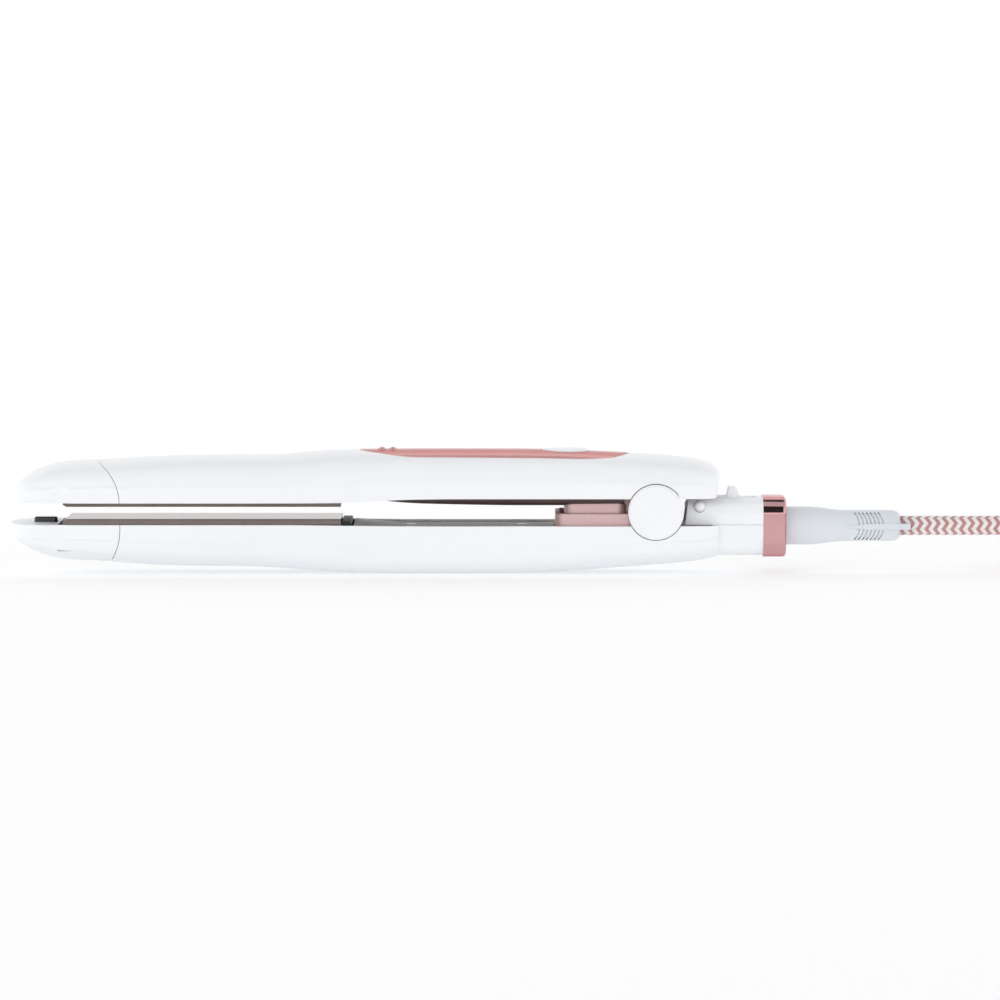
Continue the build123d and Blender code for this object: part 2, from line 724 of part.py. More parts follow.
def lower_hinge_block():
    """The lower tier in the gap and, behind it, two ears that hold the pin."""
    with BuildPart() as hinge:
        with BuildSketch(Plane.XY.offset(15.4)):
            with Locations((48.9, 0)):
                RectangleRounded(30.0, 28.4, 4.5)
        extrude(amount=6.6)
        fillet(hinge.faces().sort_by(Axis.Z)[-1].edges(), 0.4)
        add(block((35.4, 60.0), (-13.1, 13.1), (20.2, 25.0)), mode=Mode.SUBTRACT)
        add(block((59.0, 66.0), (-EAR_INNER_Y, EAR_INNER_Y), (19.8, 25.0)), mode=Mode.SUBTRACT)
        add(z_cylinder(48.0, 0, 4.2, 17.0, 25.0), mode=Mode.SUBTRACT)
        for side in NEAR_AND_FAR.values():
            y_range = sorted((side * EAR_INNER_Y, side * EAR_OUTER_Y))
            add(block((60.0, 73.5), y_range, (15.4, HINGE_Z)))
            add(y_cylinder(HINGE_X, HINGE_Z, 5.4, *y_range))
        clear = BARREL_RADIUS + 0.5
        add(y_cylinder(HINGE_X, HINGE_Z, clear, -EAR_INNER_Y, EAR_INNER_Y), mode=Mode.SUBTRACT)
        add(y_cylinder(HINGE_X, HINGE_Z, PIN_RADIUS + RUNNING, -20, 20), mode=Mode.SUBTRACT)
    save("lower_hinge_block", hinge.part)


def upper_hinge_block(panel):
    """The upper tier, which dips into the lower one's tray, and the barrel that turns on the pin."""
    with BuildPart() as hinge:
        with BuildSketch(Plane.XY.offset(21.4)):
            with Locations((48.25, 0)):
                RectangleRounded(22.3, 25.2, 4.0)
        extrude(amount=4.6)
        add(panel, mode=Mode.SUBTRACT)
        web_y = (-BARREL_HALF_LENGTH, BARREL_HALF_LENGTH)
        add(block((58.0, 66.0), web_y, (21.4, 27.2)))
        add(block((60.0, 74.0), web_y, (27.2, 29.4)))
        add(block((66.0, 72.5), web_y, (25.0, 28.0)))
        add(y_cylinder(HINGE_X, HINGE_Z, BARREL_RADIUS, *web_y))
        add(z_cylinder(48.0, 0, 4.2, 20.0, 30.0), mode=Mode.SUBTRACT)
        add(y_cylinder(HINGE_X, HINGE_Z, BUSH_RADIUS + FIT, -20, 20), mode=Mode.SUBTRACT)
    save("upper_hinge_block", hinge.part)


def hinge_pin_and_caps():
    with BuildPart() as pin:
        add(y_cylinder(HINGE_X, HINGE_Z, PIN_RADIUS, -16.4, 16.4))
        chamfer(pin.edges(), 0.3)
    save("hinge_pin", pin.part)
    with BuildPart() as bushes:
        for side in NEAR_AND_FAR.values():
            y_range = sorted((side * 4.6, side * 9.6))
            add(y_cylinder(HINGE_X, HINGE_Z, BUSH_RADIUS, *y_range))
        add(y_cylinder(HINGE_X, HINGE_Z, PIN_RADIUS + RUNNING, -20, 20), mode=Mode.SUBTRACT)
    save("hinge_bushes", bushes.part)
    for where, side in NEAR_AND_FAR.items():
        with BuildPart() as cap:
            y_range = sorted((side * HUB_INNER_Y, side * (HUB_FACE_Y - 0.6)))
            add(y_cylinder(HINGE_X, HINGE_Z, HUB_RADIUS, *y_range))
            y_range = sorted((side * (HUB_FACE_Y - 0.6), side * HUB_FACE_Y))
            add(y_cylinder(HINGE_X, HINGE_Z, HUB_FACE_RADIUS, *y_range))
            outer = cap.faces().sort_by(Axis.Y)[-1 if side > 0 else 0]
            fillet(outer.edges(), 0.25)
            socket = sorted((side * 10.0, side * 16.5))
            add(y_cylinder(HINGE_X, HINGE_Z, PIN_RADIUS + FIT, *socket), mode=Mode.SUBTRACT)
        save(f"hinge_cap_{where}", cap.part)


def opening_spring():
    """The spring between the two hinge blocks that opens the arms."""
    wire, low_z, high_z, turns = 0.5, 17.0, 26.5, 6
    with BuildPart() as spring:
        height = high_z - low_z - 2 * wire
        with BuildLine(Plane(origin=(48.0, 0, low_z + wire))):
            coil = Helix(pitch=height / turns, height=height, radius=3.2)
        with BuildSketch(Plane(origin=coil @ 0, z_dir=coil % 0)):
            Circle(wire)
        sweep(path=coil, is_frenet=True)
    save("opening_spring", spring.part)


def neck_cover():
    with BuildPart() as cover:
        add(neck_half(NECK_RISE, 0.0, NECK_START_X, NECK_END_X))
        add(neck_half(NECK_RISE, NECK_WALL, NECK_START_X - 1, NECK_END_X + 1, 1), mode=Mode.SUBTRACT)
        with BuildSketch(Plane.XZ.offset(-CUT_HALF_WIDTH)):
            with BuildLine():
                Polyline((79.0, 17.0), (NECK_START_X, 17.0), (81.6, 28.0), (79.0, 28.0), close=True)
            make_face()
        extrude(amount=2 * CUT_HALF_WIDTH, mode=Mode.SUBTRACT)
        track_x = (SLIDER_FRONT_X - 0.2, SLIDER_REAR_X + LOCK_TRAVEL + 0.2)
        add(block(track_x, (-4.8, 4.8), (26.4, 30.0)), mode=Mode.SUBTRACT)
        add(block((93.0, 102.0), (-1.7, 1.7), (20.0, 30.0)), mode=Mode.SUBTRACT)
        for side in NEAR_AND_FAR.values():
            y_range = sorted((side * (NECK_HALF_WIDTH - 0.5), side * (NECK_HALF_WIDTH + 1)))
            split_z = (LOWER_GRIP_RIM_Z - 0.1, LOWER_GRIP_RIM_Z + NECK_SPLIT)
            add(block((NECK_START_X - 1, NECK_END_X + 1), y_range, split_z), mode=Mode.SUBTRACT)
            y_range = sorted((side * 6.0, side * 16.0))
            add(y_cylinder(LOCK_PIN_X, LOCK_PIN_Z, LOCK_HEAD_RADIUS + 0.12, *y_range), mode=Mode.SUBTRACT)
            y_range = sorted((side * 4.0, side * 7.0))
            add(y_cylinder(LOCK_PIN_X, LOCK_PIN_Z, LOCK_PIN_RADIUS + 0.2, *y_range), mode=Mode.SUBTRACT)
    save("neck_cover", cover.part)


def lock_slider():
    """The thumb slider: a pad and a tab outside, a post through the slot and a wedge inside."""
    with BuildPart() as slider:
        add(block((SLIDER_FRONT_X, SLIDER_REAR_X), (-4.5, 4.5), (26.5, 27.4)))
        with BuildSketch(Plane.XZ.offset(-4.0)):
            with BuildLine():
                Polyline((95.6, 27.3), (96.3, 30.7), (99.0, 30.7), (100.0, 27.3), close=True)
            make_face()
        extrude(amount=8.0)
        fillet(slider.edges().filter_by(Axis.Y).group_by(Axis.Z)[-1], 0.7)
        add(block((93.2, 97.0), (-1.5, 1.5), (24.6, 26.6)))
        with BuildSketch(Plane.XY.offset(23.6)):
            with BuildLine():
                Polyline(
                    (80.6, 3.69),
                    (86.7, 6.285),
                    (87.8, 6.285),
                    (87.8, 2.5),
                    (97.0, 2.5),
                    (97.0, -2.5),
                    (87.8, -2.5),
                    (87.8, -6.285),
                    (86.7, -6.285),
                    (80.6, -3.69),
                    close=True,
                )
            make_face()
        extrude(amount=1.4)
    save("lock_slider", slider.part)


def lock_pins():
    for where, side in NEAR_AND_FAR.items():
        with BuildPart() as pin:
            shank = sorted((side * 6.45, side * 9.0))
            add(y_cylinder(LOCK_PIN_X, LOCK_PIN_Z, LOCK_PIN_RADIUS, *shank))
            head = sorted((side * 9.0, side * 10.2))
            add(y_cylinder(LOCK_PIN_X, LOCK_PIN_Z, LOCK_HEAD_RADIUS, *head))
            with Locations((LOCK_PIN_X, side * 10.2, LOCK_PIN_Z)):
                Sphere(LOCK_HEAD_RADIUS)
            bare = sorted((side * 6.4, side * 9.0))
            around = y_cylinder(LOCK_PIN_X, LOCK_PIN_Z, 4.0, *bare)
            add(around - y_cylinder(LOCK_PIN_X, LOCK_PIN_Z, LOCK_PIN_RADIUS, *bare), mode=Mode.SUBTRACT)
        save(f"lock_pin_{where}", pin.part)


def collar_ring():
    with BuildPart() as collar:
        with BuildSketch(Plane.YZ.offset(NECK_END_X)):
            with Locations((0, CORD_Z)):
                RectangleRounded(2 * COLLAR_HALF_SIZE, 2 * COLLAR_HALF_SIZE, COLLAR_CORNER_RADIUS)
        extrude(amount=COLLAR_END_X - NECK_END_X)
        fillet(collar.faces().sort_by(Axis.X)[-1].edges(), 1.2)
        add(x_cylinder(NECK_END_X - 1, 114.4, 9.0), mode=Mode.SUBTRACT)
        add(x_cylinder(114.0, 120.0, BOOT_BORE_RADIUS), mode=Mode.SUBTRACT)
    save("collar_ring", collar.part)


def swivel():
    """The bearing that lets the boot turn: socket and rings stay, spindle and clip turn with the boot."""
    ring_xs = (104.2, 107.0)
    with BuildPart() as socket:
        add(x_cylinder(102.4, 110.4, 8.5))
        add(x_cylinder(102.0, 111.0, 4.0 + RUNNING), mode=Mode.SUBTRACT)
        for x in ring_xs:
            add(x_cylinder(x, x + 1.2, 5.6 + FIT), mode=Mode.SUBTRACT)
    save("swivel_socket", socket.part)
    with BuildPart() as rings:
        for x in ring_xs:
            add(x_cylinder(x + FIT, x + 1.2 - FIT, 5.6))
        add(x_cylinder(102.0, 111.0, 4.0 + RUNNING), mode=Mode.SUBTRACT)
    save("contact_rings", rings.part)
    with BuildPart() as spindle:
        add(x_cylinder(100.4, 111.0, 4.0))
        add(x_cylinder(111.0, 113.4, 8.3))
        add(x_cylinder(101.3, 102.1, 5.0) - x_cylinder(101.3, 102.1, 3.2), mode=Mode.SUBTRACT)
        add(x_cylinder(100.0, 113.4, 1.8), mode=Mode.SUBTRACT)
    save("swivel_spindle", spindle.part)
    with BuildPart() as clip:
        add(x_cylinder(101.35, 102.05, 5.6))
        add(x_cylinder(101.0, 102.4, 3.2 + FIT), mode=Mode.SUBTRACT)
        add(block((101.0, 102.4), (-2.6, 2.6), (8.0, CORD_Z)), mode=Mode.SUBTRACT)
    save("retaining_clip", clip.part)


def cord_boot():
    """The tapered strain relief: round, with curved grooves and a fin along each side."""
    straight_end_x, slim_start_x, slim_end_x = 124.0, 138.0, 153.4
    with BuildPart() as boot:
        with BuildSketch(Plane.XZ):
            with BuildLine():
                Polyline((113.4, CORD_Z), (113.4, CORD_Z + BOOT_RADIUS), (straight_end_x, CORD_Z + BOOT_RADIUS))
                Spline(
                    (straight_end_x, CORD_Z + BOOT_RADIUS),
                    (130.5, CORD_Z + 6.35),
                    (slim_start_x, CORD_Z + BOOT_SLIM_RADIUS),
                    tangents=[(1, 0), (1, 0)],
                )
                Line((slim_start_x, CORD_Z + BOOT_SLIM_RADIUS), (slim_end_x, CORD_Z + BOOT_SLIM_RADIUS))
                Spline(
                    (slim_end_x, CORD_Z + BOOT_SLIM_RADIUS),
                    (BOOT_END_X, CORD_Z + BOOT_TIP_RADIUS),
                    tangents=[(1, 0), (0.35, -1)],
                )
                Polyline((BOOT_END_X, CORD_Z + BOOT_TIP_RADIUS), (BOOT_END_X, CORD_Z), (113.4, CORD_Z))
            make_face()
        revolve(axis=Axis((0, 0, CORD_Z), (1, 0, 0)))
        add(boot_grooves(), mode=Mode.SUBTRACT)
        for side in NEAR_AND_FAR.values():
            add(boot_fin(side))
    save("cord_boot", boot.part)


def boot_grooves():
    """Seven arc-shaped grooves across the boot, each deeper at the sides than at its middle line."""
    count, first_x, spacing, width, depth, bow_radius = 7, 143.2, 1.42, 0.5, 0.55, 7.5
    with BuildPart() as grooves:
        with BuildSketch(Plane.XZ.offset(-CUT_HALF_WIDTH)):
            for index in range(count):
                center_x = first_x + index * spacing - bow_radius
                with BuildLine():
                    outer = CenterArc((center_x, CORD_Z), bow_radius + width / 2, -40, 80)
                    inner = CenterArc((center_x, CORD_Z), bow_radius - width / 2, -40, 80)
                    Line(outer @ 0, inner @ 0)
                    Line(outer @ 1, inner @ 1)
                make_face()
        extrude(amount=2 * CUT_HALF_WIDTH)
        add(x_cylinder(120.0, 170.0, BOOT_SLIM_RADIUS - depth), mode=Mode.SUBTRACT)
    return grooves.part


def boot_fin(side):
    """One side fin, pointed at the front and running past the boot beside the cord."""
    y_range = sorted((side * 3.9, side * 6.5))
    with BuildPart() as fin:
        with BuildSketch(Plane.XZ.offset(-y_range[1])):
            with BuildLine():
                Polyline(
                    (139.0, CORD_Z + 0.15),
                    (146.0, CORD_Z + 1.0),
                    (FIN_END_X, CORD_Z + 1.0),
                    (FIN_END_X, CORD_Z - 1.0),
                    (146.0, CORD_Z - 1.0),
                    (139.0, CORD_Z - 0.15),
                    close=True,
                )
            make_face()
        extrude(amount=y_range[1] - y_range[0])
        edges = fin.edges().filter_by(Axis.Z).group_by(Axis.X)[-1]
        fillet(edges, 0.8)
    return fin.part


def corner_radii(points):
    """The largest tangent radius for each corner of a route: 0.45 of the shorter run over tan(half turn)."""
    radii = []
    for before, corner, after in zip(points, points[1:], points[2:]):
        run_in = Vector(*corner) - Vector(*before)
        run_out = Vector(*after) - Vector(*corner)
        half_turn = radians(run_in.get_angle(run_out)) / 2
        radii.append(0.45 * min(run_in.length, run_out.length) * cos(half_turn) / sin(half_turn))
    return radii


def cord_tube(name, points):
    """A plain round tube along straight runs joined by tangent arcs."""
    radii = corner_radii(points)
    with BuildPart() as tube:
        with BuildLine():
            path = FilletPolyline(*points, radius=radii)
        with BuildSketch(Plane(origin=path @ 0, z_dir=path % 0)):
            Circle(CORD_DIAMETER / 2)
        sweep(path=path)
    expected = pi * CORD_DIAMETER**2 / 4 * path.length
    print(name, "radii", [round(r, 1) for r in radii], "length", round(path.length, 1),
          "volume over section times length", round(tube.part.volume / expected, 4))
    save(name, tube.part)


def hank_ring(inner, outer, low_z, high_z):
    """A long oval ring: two straight sides and two round folds, with half widths inner and outer."""
    length = HANK_END_X - HANK_START_X
    with BuildPart() as ring:
        with BuildSketch(Plane.XY.offset(low_z)):
            with Locations(((HANK_START_X + HANK_END_X) / 2, 0)):
                SlotCenterToCenter(length, 2 * outer)
                SlotCenterToCenter(length, 2 * inner, mode=Mode.SUBTRACT)
        extrude(amount=high_z - low_z)
    return ring.part


def stored_cord():
    cord_tube("power_cord", LEAD_POINTS)
    cord_tube("power_cord_tail", TAIL_POINTS)
    half = CORD_DIAMETER / 2
    inner = HANK_FOLD_RADIUS - half
    middle = HANK_FOLD_RADIUS + half
    outer = HANK_FOLD_RADIUS + CORD_DIAMETER + half
    low_top, high_top = CORD_DIAMETER + HANK_LAYER, CORD_DIAMETER + 2 * HANK_LAYER
    with BuildPart() as hank:
        add(hank_ring(middle, outer, low_top, high_top))
        add(block((LEAD_POINTS[-1][0], HANK_END_X + 40), (-40, 0), (0, 30)), mode=Mode.INTERSECT)
        add(hank_ring(inner, outer, 0, low_top))
    save("cord_hank", hank.part)
    with BuildPart() as ties:
        with BuildSketch(Plane.YZ.offset(TIE_X - TIE_WIDTH / 2)):
            with BuildLine():
                Polyline(
                    (-inner + TIE_THICKNESS, 0),
                    (-inner + TIE_THICKNESS, low_top + 0.5),
                    (-middle + 1.0, high_top + TIE_THICKNESS),
                    (-outer - TIE_THICKNESS, high_top + TIE_THICKNESS),
                    (-outer - TIE_THICKNESS, 0),
                    close=True,
                )
            make_face()
        with BuildSketch(Plane.YZ.offset(TIE_X - TIE_WIDTH / 2)):
            with Locations(((inner + outer) / 2, (low_top + TIE_THICKNESS) / 2)):
                Rectangle(outer - inner + 2 * TIE_THICKNESS, low_top + TIE_THICKNESS)
        extrude(amount=TIE_WIDTH)
        add(hank.part, mode=Mode.SUBTRACT)
    save("cord_ties", ties.part)


def mains_plug():
    """A flat two-blade plug on the table inside the hank, with its own short strain relief."""
    x, y, z = TAIL_POINTS[-1]
    run = Vector(*TAIL_POINTS[-1]) - Vector(*TAIL_POINTS[-2])
    with BuildPart() as relief:
        with BuildSketch(Plane(origin=(x, y, z), z_dir=run)):
            Circle(4.2)
        with BuildSketch(Plane.YZ.offset(x + PLUG_RELIEF_LENGTH)):
            with Locations((y, z)):
                Circle(5.2)
        loft()
    save("plug_relief", relief.part)
    body_x = x + PLUG_RELIEF_LENGTH
    with BuildPart() as body:
        for along, width, height in ((0.0, 15.0, 10.8), (7.0, 22.0, 12.8), (PLUG_BODY_LENGTH, 24.0, 13.4)):
            with BuildSketch(Plane.YZ.offset(body_x + along)):
                with Locations((y, z)):
                    RectangleRounded(width, height, 4.0)
        loft()
    save("plug_body", body.part)
    blade_x = body_x + PLUG_BODY_LENGTH
    with BuildPart() as blades:
        for across in (y - BLADE_SPACING / 2, y + BLADE_SPACING / 2):
            add(block((blade_x, blade_x + BLADE_LENGTH), (across - 0.75, across + 0.75), (z - 3.2, z + 3.2)))
    save("plug_blades", blades.part)


def wiring():
    """Plain insulated leads from the swivel to the lower heater and from the hinge to the board."""
    radius = 0.8
    with BuildPart() as lower:
        for y in (-2.2, 0.0, 2.2):
            add(x_cylinder(-41.0, 101.0, radius, 11.4, y))
    save("lower_wiring", lower.part)
    with BuildPart() as upper:
        for y in (-2.4, 0.0, 2.4):
            add(x_cylinder(-41.0, 56.0, radius, 31.8, y))
    save("upper_wiring", upper.part)


def sensors(upper_back, lower_back):
    with BuildPart() as fuse:
        add(x_cylinder(-98.0, -88.0, 0.7, upper_back + 0.7, 5.0))
    save("thermal_fuse", fuse.part)
    with BuildPart() as bead:
        add(x_cylinder(-96.0, -91.0, 0.9, lower_back - 0.9, -5.0))
    save("thermistor", bead.part)


os.makedirs("parts", exist_ok=True)

upper_housing()
lower_housing()
tip_cap("upper_tip_cap", 1, UPPER_FORM, UPPER_HEAD_RIM_Z)
tip_cap("lower_tip_cap", -1, LOWER_FORM, LOWER_HEAD_RIM_Z)
tip_bumper()
upper_back = plate_stack("upper", 1, plate("upper_plate", UPPER_PLATE_FACE_Z, 1))
lower_back = plate_stack("lower", -1, plate("lower_plate", LOWER_PLATE_TOP_Z, -1))
upper_roof = plate_carrier("upper", 1, UPPER_HEAD_RIM_Z)
lower_roof = plate_carrier("lower", -1, LOWER_HEAD_RIM_Z)
float_springs("upper", upper_back, upper_roof)
float_springs("lower", lower_roof, lower_back)
sensors(upper_back, lower_back)
lower_inner_panel()
PANEL_FORM = panel_form()
upper_inner_panel(PANEL_FORM)
screws("lower_panel_screws", screw_places(), LOWER_PANEL_TOP_Z - SCREW_HEAD_HEIGHT, LOWER_PANEL_TOP_Z, 10.6)
screws("upper_panel_screws", screw_places(), 26.6 - SCREW_HEAD_HEIGHT, 26.6, 32.8)
screws("board_screws", [(x, 0) for x in BOARD_SCREW_XS], BOARD_Z - SCREW_HEAD_HEIGHT, BOARD_Z, 40.6)
trim_panel()
power_button()
temperature_keys()
led_lens()
circuit_board()
board_parts()
lower_hinge_block()
upper_hinge_block(PANEL_FORM)
hinge_pin_and_caps()
opening_spring()
neck_cover()
lock_slider()
lock_pins()
collar_ring()
swivel()
cord_boot()
stored_cord()
mains_plug()
wiring()
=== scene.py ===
import json
from math import atan2, cos, pi, radians, sin

import bpy
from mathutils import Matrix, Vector


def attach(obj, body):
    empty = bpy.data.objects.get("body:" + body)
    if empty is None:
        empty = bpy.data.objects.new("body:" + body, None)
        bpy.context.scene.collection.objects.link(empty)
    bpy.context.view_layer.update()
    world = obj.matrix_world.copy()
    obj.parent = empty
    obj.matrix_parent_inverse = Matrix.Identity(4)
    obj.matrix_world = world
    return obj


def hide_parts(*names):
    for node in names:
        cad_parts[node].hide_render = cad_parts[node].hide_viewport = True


# A slim hair crimper on a white table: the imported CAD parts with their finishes, and a braided cord
# made here along the CAD's own route. Metres, in the frame of the CAD.
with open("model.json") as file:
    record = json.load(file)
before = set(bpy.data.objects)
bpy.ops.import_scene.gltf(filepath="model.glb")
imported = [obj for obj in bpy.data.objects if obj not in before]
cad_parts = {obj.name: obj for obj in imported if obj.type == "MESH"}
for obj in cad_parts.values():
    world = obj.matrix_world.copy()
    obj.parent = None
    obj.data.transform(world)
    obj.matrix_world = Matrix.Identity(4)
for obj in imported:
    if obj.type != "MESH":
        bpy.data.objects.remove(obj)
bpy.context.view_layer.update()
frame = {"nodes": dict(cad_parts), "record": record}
nodes = frame["nodes"]

# ---------------------------------------------------------------- camera
CAMERA_ELEVATION = radians(4.5)
CAMERA_DISTANCE = 1.8
CAMERA_TARGET = Vector((0.01404, 0.0, 0.0258))
CAMERA_LENS = 180.0
CAMERA_SENSOR = 36.0
CAMERA_REACH = 50.0

camera_data = bpy.data.cameras.new("camera")
camera_data.lens = CAMERA_LENS
camera_data.sensor_width = CAMERA_SENSOR
camera_data.clip_end = CAMERA_REACH
camera = bpy.data.objects.new("camera", camera_data)
bpy.context.scene.collection.objects.link(camera)
back = Vector((0.0, -cos(CAMERA_ELEVATION), sin(CAMERA_ELEVATION)))
camera.location = CAMERA_TARGET + CAMERA_DISTANCE * back
camera.rotation_euler = (-back).to_track_quat("-Z", "Y").to_euler()
bpy.context.scene.camera = camera


# ---------------------------------------------------------------- materials
# Most of a noise's values lie between these two.
NOISE_LOW, NOISE_HIGH = 0.3, 0.7


class Graph:
    """A material's node tree, with short calls for the nodes that the finishes share."""

    def __init__(self, name):
        self.material = bpy.data.materials.new(name)
        self.material.use_nodes = True
        self.tree = self.material.node_tree
        self.tree.nodes.clear()
        output = self.tree.nodes.new("ShaderNodeOutputMaterial")
        self.shader = self.tree.nodes.new("ShaderNodeBsdfPrincipled")
        self.tree.links.new(self.shader.outputs["BSDF"], output.inputs["Surface"])

    def put(self, socket, value):
        """Gives a socket a number, a colour or another node's output."""
        if isinstance(value, bpy.types.NodeSocket):
            self.tree.links.new(value, socket)
        else:
            socket.default_value = value

    def finish(self, **values):
        """Sets the shader's inputs, named with underscores."""
        for key, value in values.items():
            self.put(self.shader.inputs[key.replace("_", " ")], value)
        return self.material

    def coordinates(self, stretch=(1.0, 1.0, 1.0), kind="Object"):
        source = self.tree.nodes.new("ShaderNodeTexCoord")
        mapping = self.tree.nodes.new("ShaderNodeMapping")
        mapping.inputs["Scale"].default_value = stretch
        self.put(mapping.inputs["Vector"], source.outputs[kind])
        return mapping.outputs["Vector"]

    def noise(self, scale, detail=3.0, stretch=(1.0, 1.0, 1.0)):
        node = self.tree.nodes.new("ShaderNodeTexNoise")
        node.inputs["Scale"].default_value = scale
        node.inputs["Detail"].default_value = detail
        self.put(node.inputs["Vector"], self.coordinates(stretch))
        return node.outputs["Fac"]

    def between(self, factor, low, high):
        """A number from low to high as the factor goes over a noise's usual range."""
        node = self.tree.nodes.new("ShaderNodeMapRange")
        node.inputs["From Min"].default_value = NOISE_LOW
        node.inputs["From Max"].default_value = NOISE_HIGH
        node.inputs["To Min"].default_value = low
        node.inputs["To Max"].default_value = high
        self.put(node.inputs["Value"], factor)
        return node.outputs["Result"]

    def blend(self, factor, low, high):
        """A colour between two colours or outputs."""
        node = self.tree.nodes.new("ShaderNodeMix")
        node.data_type = "RGBA"
        self.put(node.inputs["Factor"], factor)
        self.put(node.inputs[6], low)
        self.put(node.inputs[7], high)
        return node.outputs[2]

    def math(self, operation, first, second=0.0):
        node = self.tree.nodes.new("ShaderNodeMath")
        node.operation = operation
        self.put(node.inputs[0], first)
        self.put(node.inputs[1], second)
        return node.outputs[0]

    def bump(self, height, distance, strength=1.0):
        node = self.tree.nodes.new("ShaderNodeBump")
        node.inputs["Distance"].default_value = distance
        node.inputs["Strength"].default_value = strength
        self.put(node.inputs["Height"], height)
        return node.outputs["Normal"]


def tint(red, green, blue):
    """A display colour from 0 to 255 as a linear one."""
    linear = []
    for channel in (red, green, blue):
        share = channel / 255
        linear.append(share / 12.92 if share <= 0.04045 else ((share + 0.055) / 1.055) ** 2.4)
    return (*linear, 1.0)


def grained(name, low, high, roughness, grain, bump, stretch=(1, 1, 1), scale=60.0, **extra):
    """A finish with a slow colour drift, a fine grain in its roughness and a fine bump."""
    graph = Graph(name)
    drift = graph.between(graph.noise(scale, stretch=stretch), 0.0, 1.0)
    fine = graph.noise(grain, detail=4.0, stretch=stretch)
    return graph.finish(
        Base_Color=graph.blend(drift, low, high),
        Roughness=graph.between(fine, roughness[0], roughness[1]),
        Normal=graph.bump(fine, bump),
        **extra,
    )


# The height of the normal at which the painted shade starts to turn the shell grey, and where it is
# greyest.
UNDERSIDE_START, UNDERSIDE_END = -0.15, -1.0


def white_shell():
    """Smooth white plastic. Its undersides are tinted grey as painted shade, to part them from the white
    table: this is a shading aid, and no property of the plastic."""
    graph = Graph("white_shell")
    drift = graph.between(graph.noise(18.0), 0.0, 1.0)
    fine = graph.noise(2400.0, detail=4.0)
    split = graph.tree.nodes.new("ShaderNodeSeparateXYZ")
    facing = graph.tree.nodes.new("ShaderNodeTexCoord")
    graph.put(split.inputs["Vector"], facing.outputs["Normal"])
    underside_shade = graph.tree.nodes.new("ShaderNodeMapRange")
    underside_shade.interpolation_type = "SMOOTHSTEP"
    underside_shade.inputs["From Min"].default_value = UNDERSIDE_START
    underside_shade.inputs["From Max"].default_value = UNDERSIDE_END
    graph.put(underside_shade.inputs["Value"], split.outputs["Z"])
    unshaded_white = graph.blend(drift, tint(246, 247, 249), tint(249, 250, 252))
    return graph.finish(
        # Painted shade: the base colour turns grey where the surface faces down.
        Base_Color=graph.blend(underside_shade.outputs["Result"], unshaded_white, tint(236, 239, 242)),
        Roughness=graph.between(fine, 0.34, 0.42),
        Normal=graph.bump(fine, 2e-6),
        Coat_Weight=0.15,
        Coat_Roughness=0.2,
    )


def rose_trim():
    """Brushed rose-gold: fine lines along the tool."""
    return grained(
        "rose_trim", tint(214, 166, 164), tint(222, 175, 173), (0.14, 0.2), 900.0, 6e-7,
        stretch=(0.04, 1.0, 1.0), Metallic=1.0, Specular_Tint=(0.66, 0.46, 0.45, 1.0),
    )


def rose_chrome():
    return grained(
        "rose_chrome", tint(204, 158, 160), tint(211, 166, 167), (0.08, 0.12), 1500.0, 1e-6, Metallic=1.0,
        Specular_Tint=(0.8, 0.55, 0.54, 1.0),
    )


def hinge_pink():
    """Satin lacquer with fine metal flakes."""
    graph = Graph("hinge_pink")
    cells = graph.tree.nodes.new("ShaderNodeTexVoronoi")
    cells.inputs["Scale"].default_value = 2600.0
    graph.put(cells.inputs["Vector"], graph.coordinates())
    flake = graph.math("POWER", cells.outputs["Distance"], 1.4)
    return graph.finish(
        Base_Color=graph.blend(flake, tint(222, 192, 190), tint(208, 174, 172)),
        Metallic=0.55,
        Roughness=graph.between(graph.noise(1800.0), 0.38, 0.5),
        Normal=graph.bump(cells.outputs["Distance"], 4e-6),
    )


def taupe_panel():
    return grained("taupe_panel", tint(150, 143, 138), tint(168, 160, 155), (0.42, 0.55), 1600.0, 4e-6)


# The panel finish darkened as painted shade, for the cover that faces down into the shaded gap between the
# grips.
def panel_painted_shade():
    return grained("panel_painted_shade", tint(60, 42, 40), tint(76, 54, 51), (0.32, 0.44), 1600.0, 4e-6)


def black_insulator():
    return grained("black_insulator", tint(30, 28, 28), tint(40, 37, 36), (0.45, 0.6), 1700.0, 5e-6)


def bumper_black():
    return grained(
        "bumper_black", tint(22, 20, 20), tint(34, 30, 29), (0.12, 0.2), 1300.0, 3e-6, Coat_Weight=0.6,
    )


def plate_coating():
    """Baked ceramic coating: fine speckle over satin metal."""
    return grained(
        "plate_coating", tint(108, 98, 94), tint(120, 110, 105), (0.10, 0.15), 3200.0, 4e-7, Metallic=0.85,
        Specular_Tint=(0.8, 0.78, 0.77, 1.0),
    )


def heater_ceramic():
    return grained("heater_ceramic", tint(226, 220, 206), tint(238, 233, 222), (0.6, 0.75), 900.0, 8e-6)


def spreader_metal():
    return grained(
        "spreader_metal", tint(196, 197, 199), tint(214, 214, 214), (0.25, 0.4), 700.0, 3e-6,
        stretch=(0.05, 1, 1), Metallic=1.0,
    )


def steel():
    return grained(
        "steel", tint(168, 168, 170), tint(188, 188, 189), (0.2, 0.34), 1100.0, 3e-6, stretch=(1, 0.1, 1),
        Metallic=1.0,
    )


def bronze():
    return grained(
        "bronze", tint(196, 156, 100), tint(212, 174, 118), (0.25, 0.4), 1400.0, 4e-6, Metallic=1.0,
    )


def board_green():
    return grained(
        "board_green", tint(18, 74, 44), tint(28, 92, 56), (0.3, 0.45), 420.0, 8e-6, Coat_Weight=0.4,
    )


def component_black():
    return grained("component_black", tint(26, 26, 28), tint(38, 38, 40), (0.5, 0.65), 2100.0, 4e-6)


def lens_clear():
    return grained("lens_clear", tint(214, 226, 242), tint(232, 240, 250), (0.05, 0.12), 800.0, 1e-6)


